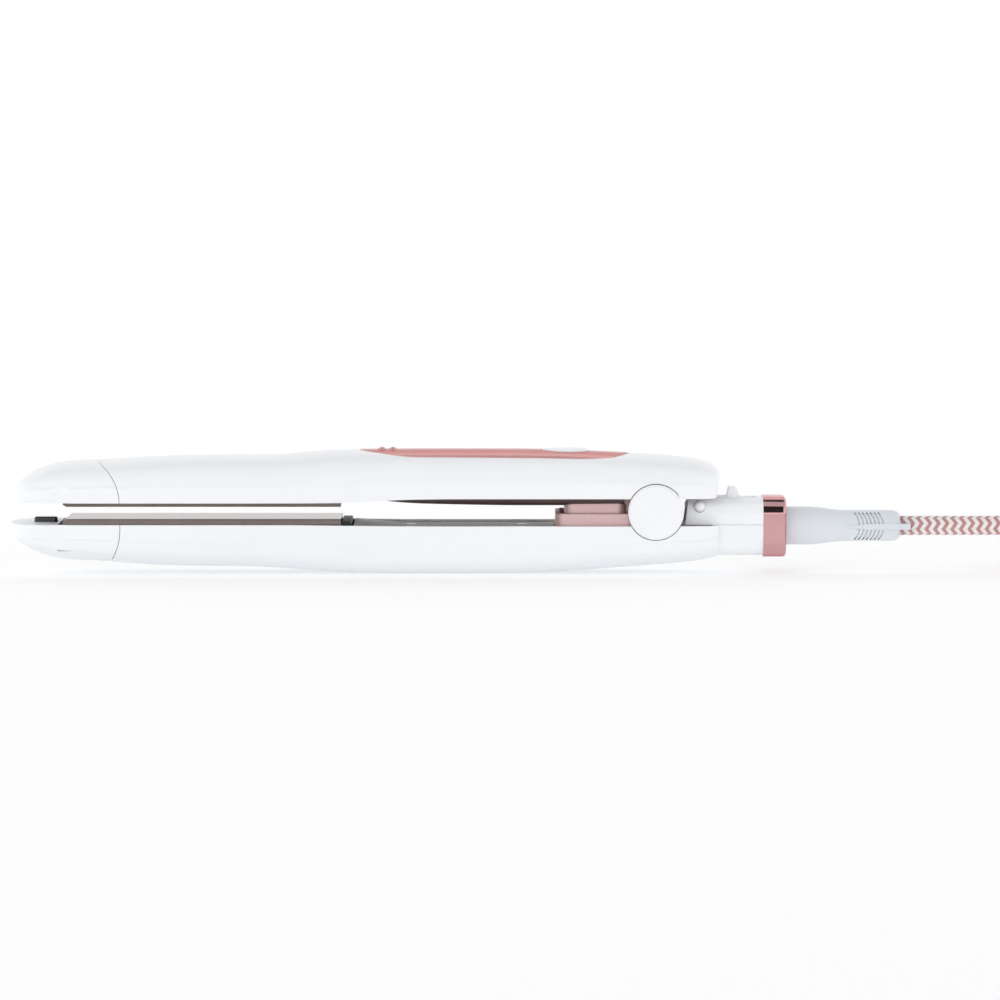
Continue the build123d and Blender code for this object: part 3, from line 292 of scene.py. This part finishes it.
def socket_nylon():
    return grained("socket_nylon", tint(222, 221, 214), tint(232, 231, 226), (0.45, 0.55), 1500.0, 3e-6)


def boot_rubber():
    return grained(
        "boot_rubber", tint(222, 226, 232), tint(228, 232, 238), (0.46, 0.56), 2200.0, 4e-6, scale=30.0,
    )


def wire_insulation():
    return grained("wire_insulation", tint(172, 52, 46), tint(190, 66, 58), (0.4, 0.5), 1200.0, 3e-6)


def tie_strap():
    """Woven hook-and-loop strap."""
    graph = Graph("tie_strap")
    wave = graph.tree.nodes.new("ShaderNodeTexWave")
    wave.inputs["Scale"].default_value = 320.0
    wave.inputs["Distortion"].default_value = 2.0
    graph.put(wave.inputs["Vector"], graph.coordinates())
    return graph.finish(
        Base_Color=graph.blend(wave.outputs["Fac"], tint(34, 34, 36), tint(58, 57, 60)),
        Roughness=graph.between(graph.noise(2000.0), 0.75, 0.9),
        Normal=graph.bump(wave.outputs["Fac"], 1e-4),
        Sheen_Weight=0.4,
    )


BRAID_PITCH = 0.0031
BRAID_COLUMNS = 5
BRAID_ZIGZAG = 0.46
YARN_PITCH = 0.00078
STRIPE_EDGE = (0.22, 0.30)
YARN_HEIGHT = 1.2
FUZZ_HEIGHT = 0.4
BRAID_RELIEF = 1.6e-4


def cord_braid():
    """Zigzag stripes of rose and white yarn, from the tube's own length and angle."""
    graph = Graph("cord_braid")
    split = graph.tree.nodes.new("ShaderNodeSeparateXYZ")
    graph.put(split.inputs["Vector"], graph.coordinates(kind="UV"))
    along, around = split.outputs["X"], split.outputs["Y"]
    column = graph.math("MULTIPLY", around, float(BRAID_COLUMNS))
    zigzag = graph.math("PINGPONG", column, 0.5)
    shift = graph.math("MULTIPLY", zigzag, 2 * BRAID_ZIGZAG)
    phase = graph.math("ADD", graph.math("DIVIDE", along, BRAID_PITCH), shift)
    stripe = graph.math("PINGPONG", phase, 0.5)
    ramp = graph.tree.nodes.new("ShaderNodeMapRange")
    ramp.interpolation_type = "SMOOTHSTEP"
    ramp.inputs["From Min"].default_value = STRIPE_EDGE[0]
    ramp.inputs["From Max"].default_value = STRIPE_EDGE[1]
    graph.put(ramp.inputs["Value"], stripe)
    fuzz = graph.noise(2600.0, detail=5.0)
    white = graph.blend(graph.between(fuzz, 0.0, 1.0), tint(236, 230, 229), tint(252, 249, 248))
    rose = graph.blend(graph.between(fuzz, 0.0, 1.0), tint(182, 128, 126), tint(208, 158, 155))
    yarns = graph.math("PINGPONG", graph.math("MULTIPLY", phase, BRAID_PITCH / YARN_PITCH), 0.5)
    groove = graph.math("PINGPONG", graph.math("MULTIPLY", column, 2.0), 0.5)
    crest = graph.math("POWER", graph.math("MULTIPLY", groove, 2.0), 0.4)
    weave = graph.math("ADD", crest, graph.math("MULTIPLY", yarns, YARN_HEIGHT))
    height = graph.math("ADD", weave, graph.math("MULTIPLY", fuzz, FUZZ_HEIGHT))
    return graph.finish(
        Base_Color=graph.blend(ramp.outputs["Result"], white, rose),
        Roughness=graph.between(fuzz, 0.62, 0.8),
        Normal=graph.bump(height, BRAID_RELIEF),
        Sheen_Weight=0.3,
    )


FINISHES = {
    make.__name__: make()
    for make in (
        white_shell, rose_trim, rose_chrome, hinge_pink, taupe_panel, panel_painted_shade, black_insulator,
        bumper_black, plate_coating, heater_ceramic, spreader_metal, steel, bronze, board_green,
        component_black, lens_clear, socket_nylon, boot_rubber, wire_insulation, tie_strap, cord_braid,
    )
}

SHARP_ANGLE = radians(34)
WELD_DISTANCE = 2e-6


def dress(node, finish):
    """Gives a CAD node its finish and shades it smooth except over its real edges."""
    mesh = node.data
    mesh.materials.clear()
    mesh.materials.append(finish)
    if "custom_normal" in mesh.attributes:
        mesh.attributes.remove(mesh.attributes["custom_normal"])
    for polygon in mesh.polygons:
        polygon.use_smooth = True
    weld = node.modifiers.new("weld", "WELD")
    weld.merge_threshold = WELD_DISTANCE
    edges = node.modifiers.new("edges", "EDGE_SPLIT")
    edges.split_angle = SHARP_ANGLE
    node.modifiers.new("normals", "WEIGHTED_NORMAL")


# The upper grip's cover gets a darker copy of the panel finish it shares a slot with: painted shade, since
# that cover faces down into the gap between the grips.
PAINTED_SHADE_COVER = {"upper_inner_panel": "panel_painted_shade"}
for entry in frame["record"]["subparts"]:
    dress(nodes[entry["node"]], FINISHES[PAINTED_SHADE_COVER.get(entry["node"], entry["material_slot"])])


# ---------------------------------------------------------------- the cord
CORD_DIAMETER = 0.0069
LEAD_POINTS = (
    (0.1579, 0.0, 0.0166),
    (0.197, 0.0, 0.0166),
    (0.217, -0.0036, 0.0173),
    (0.236, -0.012, 0.0174),
    (0.254, -0.0215, 0.0173),
    (0.271, -0.0274, 0.01705),
    (0.288, -0.0276, 0.01705),
)
TAIL_POINTS = (
    (0.234, -0.0207, 0.01025),
    (0.248, -0.020, 0.0098),
    (0.263, -0.0145, 0.0086),
    (0.278, -0.0065, 0.0076),
    (0.293, -0.001, 0.0069),
    (0.306, 0.0, 0.0068),
)
HANK_START_X, HANK_END_X = 0.234, 0.342
FOLD_RADIUS = 0.0207
LAYER_HEIGHT = 0.0068
FOLD_STEPS = 8
SIDE_STEPS = 6
CORD_SIDES = 20
ROUTE_ORDER = 3
ROUTE_STEPS = 8

# The winding in laps of the long oval: away from the tool to 0.3, round the outer fold to 0.5,
# back to 0.8, and round the fold by the tool.
# Each entry is (lap, column out from the inner one, layer), held until the next one's change-over.
WINDING = ((0.15, 1, 2), (0.4, 1, 1), (1.3, 1, 0), (2.2, 0, 0), (3.1, 0, 1))
WINDING_END = 4.0
CHANGE_OVER = 0.1
LAP_MARKS = (0.0, 0.3, 0.5, 0.8, 1.0)


def winding_place(lap):
    """The column and the layer that the cord lies in at this lap."""
    place = WINDING[0][1:]
    for start, column, layer in WINDING[1:]:
        share = min(max((lap - start) / CHANGE_OVER, 0.0), 1.0)
        share = share * share * (3 - 2 * share)
        place = (place[0] + (column - place[0]) * share, place[1] + (layer - place[1]) * share)
    return place


def hank_point(lap, spread):
    """A control point of the hank at this lap, its folds set out by the spread."""
    column, layer = winding_place(lap)
    out = FOLD_RADIUS + column * CORD_DIAMETER
    height = CORD_DIAMETER / 2 + layer * LAYER_HEIGHT
    turn = lap % 1.0
    for number, (low, high) in enumerate(zip(LAP_MARKS, LAP_MARKS[1:])):
        if low <= turn < high:
            break
    share = (turn - low) / (high - low)
    if number % 2 == 0:
        run = HANK_START_X + (HANK_END_X - HANK_START_X) * (share if number == 0 else 1 - share)
        return (run, -out if number == 0 else out, height)
    angle = pi * share - pi / 2 + (0.0 if number == 1 else pi)
    center = HANK_END_X if number == 1 else HANK_START_X
    return (center + spread * out * cos(angle), spread * out * sin(angle), height)


def hank_points():
    """Control points of the laps; those in the folds lie a little outside the rounds they make."""
    spread = 1 / cos(pi / FOLD_STEPS / 2)
    points = []
    for lap in range(int(WINDING_END)):
        for number, (low, high) in enumerate(zip(LAP_MARKS, LAP_MARKS[1:])):
            steps = SIDE_STEPS if number % 2 == 0 else FOLD_STEPS
            for step in range(steps):
                place = lap + low + (high - low) * (step + 0.5) / steps
                if WINDING[0][0] < place < WINDING_END:
                    points.append(hank_point(place, spread))
    return tuple(points)


def route_line(points):
    """Points along the smooth NURBS line that these control points give."""
    curve = bpy.data.curves.new("route", "CURVE")
    curve.dimensions = "3D"
    curve.resolution_u = ROUTE_STEPS
    spline = curve.splines.new("NURBS")
    spline.points.add(len(points) - 1)
    for point, place in zip(spline.points, points):
        point.co = (*place, 1.0)
    spline.order_u = ROUTE_ORDER
    spline.use_endpoint_u = True
    holder = bpy.data.objects.new("route", curve)
    bpy.context.scene.collection.objects.link(holder)
    mesh = bpy.data.meshes.new_from_object(holder)
    line = [vertex.co.copy() for vertex in mesh.vertices]
    bpy.data.objects.remove(holder)
    bpy.data.meshes.remove(mesh)
    return line


def tube_along(name, line, radius, sides):
    """A closed tube round a line, with the length along it and the share round it as its UV."""
    steps = [(after - before).normalized() for before, after in zip(line, line[1:])]
    tangents = [steps[0]] + [(a + b).normalized() for a, b in zip(steps, steps[1:])] + [steps[-1]]
    normal = Vector((0.0, 0.0, 1.0))
    vertices, lengths, travelled = [], [], 0.0
    for index, (place, tangent) in enumerate(zip(line, tangents)):
        if index:
            travelled += (place - line[index - 1]).length
        normal = (normal - normal.dot(tangent) * tangent).normalized()
        side = tangent.cross(normal)
        for turn in range(sides):
            angle = 2 * pi * turn / sides
            vertices.append(place + radius * (cos(angle) * normal + sin(angle) * side))
        lengths.append(travelled)
    faces, uvs = [], []
    for ring in range(len(line) - 1):
        for turn in range(sides):
            after = (turn + 1) % sides
            low, high = ring * sides, (ring + 1) * sides
            faces.append((low + turn, high + turn, high + after, low + after))
            low_v, high_v = turn / sides, (turn + 1) / sides
            near, far = lengths[ring], lengths[ring + 1]
            uvs += [(near, low_v), (far, low_v), (far, high_v), (near, high_v)]
    last = (len(line) - 1) * sides
    faces.append(tuple(range(sides)))
    faces.append(tuple(last + turn for turn in reversed(range(sides))))
    for end in (0.0, travelled):
        uvs += [(end, turn / sides) for turn in range(sides)]
    mesh = bpy.data.meshes.new(name)
    mesh.from_pydata(vertices, [], faces)
    layer = mesh.uv_layers.new(name="UVMap")
    for loop, uv in zip(layer.data, uvs):
        loop.uv = uv
    mesh.shade_smooth()
    mesh.flip_normals()
    tube = bpy.data.objects.new(name, mesh)
    bpy.context.scene.collection.objects.link(tube)
    return tube, travelled


cord_line = route_line(LEAD_POINTS + hank_points() + TAIL_POINTS)
cord, cord_length = tube_along("braided_cord", cord_line, CORD_DIAMETER / 2, CORD_SIDES)
cord.data.materials.append(FINISHES["cord_braid"])
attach(cord, "lower_arm")
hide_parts("power_cord", "power_cord_tail", "cord_hank")


# ---------------------------------------------------------------- the ties round the hank
TIE_X = 0.3
TIE_WIDTH = 0.008
TIE_THICKNESS = 0.0008
TIE_FOOT = TIE_THICKNESS / 2
TIE_INNER_RISE, TIE_OUTER_RISE = 0.005, 0.006
TIE_ROUNDING = 0.0002
NEAR_LAYERS, FAR_LAYERS = 3, 2
ARC_STEPS = 8


def tie_outline(side, outer_layers):
    """A strap's middle line over one side of the hank: distance along Y, and height."""
    reach = CORD_DIAMETER / 2 + TIE_THICKNESS / 2
    inner = (FOLD_RADIUS, CORD_DIAMETER / 2 + LAYER_HEIGHT)
    outer = (FOLD_RADIUS + CORD_DIAMETER, CORD_DIAMETER / 2 + (outer_layers - 1) * LAYER_HEIGHT)
    lean = atan2(outer[1] - inner[1], outer[0] - inner[0]) + pi / 2
    points = [(inner[0] - reach, TIE_FOOT), (inner[0] - reach, TIE_INNER_RISE)]
    for center, start, end in ((inner, pi, lean), (outer, lean, 0.0)):
        for step in range(ARC_STEPS + 1):
            angle = start + (end - start) * step / ARC_STEPS
            points.append((center[0] + reach * cos(angle), center[1] + reach * sin(angle)))
    points += [(outer[0] + reach, TIE_OUTER_RISE), (outer[0] + reach, TIE_FOOT)]
    return [(side * out, height) for out, height in points]


def strap(name, outlines, place, width, thickness):
    """Woven straps bent along outlines that stand across the hank, as one piece."""
    vertices, faces = [], []
    for outline in outlines:
        start = len(vertices)
        for index, (out, height) in enumerate(outline):
            before = outline[max(index - 1, 0)]
            after = outline[min(index + 1, len(outline) - 1)]
            along = Vector((after[0] - before[0], after[1] - before[1])).normalized()
            across = Vector((-along[1], along[0]))
            for side in (-0.5, 0.5):
                for depth in (-0.5, 0.5):
                    y = out + across[0] * depth * thickness
                    z = max(height + across[1] * depth * thickness, 0.0)
                    vertices.append((place + side * width, y, z))
        for index in range(len(outline) - 1):
            low, high = start + index * 4, start + index * 4 + 4
            for first, second in ((0, 1), (1, 3), (3, 2), (2, 0)):
                faces.append((low + first, low + second, high + second, high + first))
        last = start + (len(outline) - 1) * 4
        faces += [(start, start + 2, start + 3, start + 1), (last, last + 1, last + 3, last + 2)]
    mesh = bpy.data.meshes.new(name)
    mesh.from_pydata(vertices, [], faces)
    piece = bpy.data.objects.new(name, mesh)
    bpy.context.scene.collection.objects.link(piece)
    rounding = piece.modifiers.new("rounding", "BEVEL")
    rounding.width = TIE_ROUNDING
    rounding.segments = 2
    mesh.shade_smooth()
    return piece


outlines = (tie_outline(-1, NEAR_LAYERS), tie_outline(1, FAR_LAYERS))
ties = strap("hank_ties", outlines, TIE_X, TIE_WIDTH, TIE_THICKNESS)
ties.data.materials.append(FINISHES["tie_strap"])
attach(ties, "lower_arm")
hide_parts("cord_ties")

# ---------------------------------------------------------------- table, backdrop and light
FLOOR_SIDE = 6.0
FLOOR_FRONT = -3.0
SWEEP_START = 2.0
SWEEP_RADIUS = 1.5
SWEEP_STEPS = 16
WALL_TOP = 5.0
PAPER_GLOW = 0.40
PAPER_ROUGHNESS = 0.9


def backdrop():
    """A table that curves up into a wall behind, as one sheet."""
    profile = [(FLOOR_FRONT, 0.0), (SWEEP_START, 0.0)]
    for step in range(1, SWEEP_STEPS + 1):
        angle = pi / 2 * step / SWEEP_STEPS
        profile.append((SWEEP_START + SWEEP_RADIUS * sin(angle), SWEEP_RADIUS * (1 - cos(angle))))
    profile.append((SWEEP_START + SWEEP_RADIUS, WALL_TOP))
    vertices = [(side * FLOOR_SIDE / 2, y, z) for y, z in profile for side in (-1, 1)]
    faces = [(2 * i, 2 * i + 1, 2 * i + 3, 2 * i + 2) for i in range(len(profile) - 1)]
    mesh = bpy.data.meshes.new("backdrop")
    mesh.from_pydata(vertices, [], faces)
    mesh.shade_smooth()
    sheet = bpy.data.objects.new("backdrop", mesh)
    bpy.context.scene.collection.objects.link(sheet)
    graph = Graph("paper")
    fine = graph.noise(400.0)
    graph.finish(
        Base_Color=graph.blend(fine, tint(210, 210, 210), tint(214, 214, 214)),
        Roughness=PAPER_ROUGHNESS,
        Emission_Color=(1.0, 1.0, 1.0, 1.0),
        Emission_Strength=PAPER_GLOW,
    )
    mesh.materials.append(graph.material)
    return sheet


backdrop()


def softbox(name, place, aim, size, power):
    """A rectangular area light at a place, turned towards another."""
    data = bpy.data.lights.new(name, "AREA")
    data.shape = "RECTANGLE"
    data.size, data.size_y = size
    data.energy = power
    light = bpy.data.objects.new(name, data)
    light.location = place
    light.rotation_euler = (Vector(aim) - Vector(place)).to_track_quat("-Z", "Y").to_euler()
    bpy.context.scene.collection.objects.link(light)


CARD_DRIFT = 6


def card(name, place, aim, size, shade):
    """A matt card that the bright metals and the white shell pick up as a darker band."""
    across, up = size[0] / 2, size[1] / 2
    mesh = bpy.data.meshes.new(name)
    corners = [(-across, -up, 0), (across, -up, 0), (across, up, 0), (-across, up, 0)]
    mesh.from_pydata(corners, [], [(0, 1, 2, 3)])
    piece = bpy.data.objects.new(name, mesh)
    piece.location = place
    piece.rotation_euler = (Vector(aim) - Vector(place)).to_track_quat("Z", "Y").to_euler()
    bpy.context.scene.collection.objects.link(piece)
    graph = Graph(name)
    weave = graph.noise(300.0)
    lighter = (value + CARD_DRIFT for value in shade)
    graph.finish(
        Base_Color=graph.blend(weave, tint(*shade), tint(*lighter)),
        Roughness=PAPER_ROUGHNESS,
    )
    mesh.materials.append(graph.material)


card("collar_flag", (0.27, -1.95, 1.02), (0.112, 0.0, 0.02), (0.62, 1.45), (30, 28, 28))
card("plate_flag", (0.0, -1.15, 1.33), (0.0, 0.0, 0.02), (1.5, 0.32), (30, 28, 28))
card("roof_flag", (0.0, 0.22, 1.2), (0.0, 0.0, 0.0), (1.6, 0.42), (46, 43, 43))
softbox("key", (-0.9, -1.8, 1.1), (0.0, 0.0, 0.02), (0.9, 0.7), 1.6)

SKY_AT_HORIZON = 1.30
SKY_OVERHEAD = 0.79
SKY_COLOR = (0.985, 0.992, 1.0, 1.0)
GRADIENT_START, GRADIENT_END = 0.1, 1.0

world = bpy.data.worlds.new("studio")
world.use_nodes = True
sky = world.node_tree
direction = sky.nodes.new("ShaderNodeTexCoord")
parts = sky.nodes.new("ShaderNodeSeparateXYZ")
falloff = sky.nodes.new("ShaderNodeMapRange")
falloff.interpolation_type = "SMOOTHSTEP"
falloff.inputs["From Min"].default_value = GRADIENT_START
falloff.inputs["From Max"].default_value = GRADIENT_END
falloff.inputs["To Min"].default_value = SKY_AT_HORIZON
falloff.inputs["To Max"].default_value = SKY_OVERHEAD
sky.links.new(direction.outputs["Generated"], parts.inputs["Vector"])
sky.links.new(parts.outputs["Z"], falloff.inputs["Value"])
sky.links.new(falloff.outputs["Result"], sky.nodes["Background"].inputs["Strength"])
sky.nodes["Background"].inputs["Color"].default_value = SKY_COLOR
bpy.context.scene.world = world
bpy.context.scene.view_settings.view_transform = "Standard"
